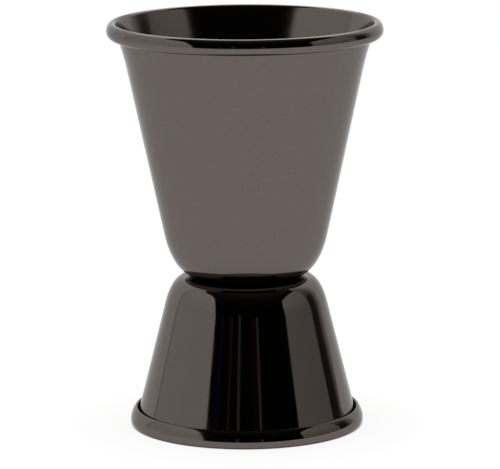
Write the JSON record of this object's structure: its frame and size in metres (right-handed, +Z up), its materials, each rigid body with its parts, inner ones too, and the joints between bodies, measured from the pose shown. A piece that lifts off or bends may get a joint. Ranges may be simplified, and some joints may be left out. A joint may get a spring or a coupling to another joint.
{
  "type": "bar jigger",
  "caption": "Double-ended bar jigger: tapered steel measuring cups of unequal size, joined base to base, each with a rolled rim, in a dark mirror finish.",
  "frame": {"origin": "on the axis of both cups, in the plane of the small cup's rim, on which the jigger stands", "axes": "+Z up along the axis of both cups, towards the large cup's mouth. X and Y are alike, because the cups are round"},
  "size_m": [0.0554, 0.0554, 0.082],
  "materials": {
    "large_cup_black_nickel": "mirror-polished black nickel plating over drawn stainless steel",
    "small_cup_black_nickel": "mirror-polished black nickel plating over drawn stainless steel",
    "weld_steel": "bare resistance weld metal, hidden between the bases"
  },
  "bodies": {
    "root": {"large_cup": "large_cup_black_nickel", "small_cup": "small_cup_black_nickel", "spot_weld_1": "weld_steel", "spot_weld_2": "weld_steel", "spot_weld_3": "weld_steel"}
  },
  "joints": []
}
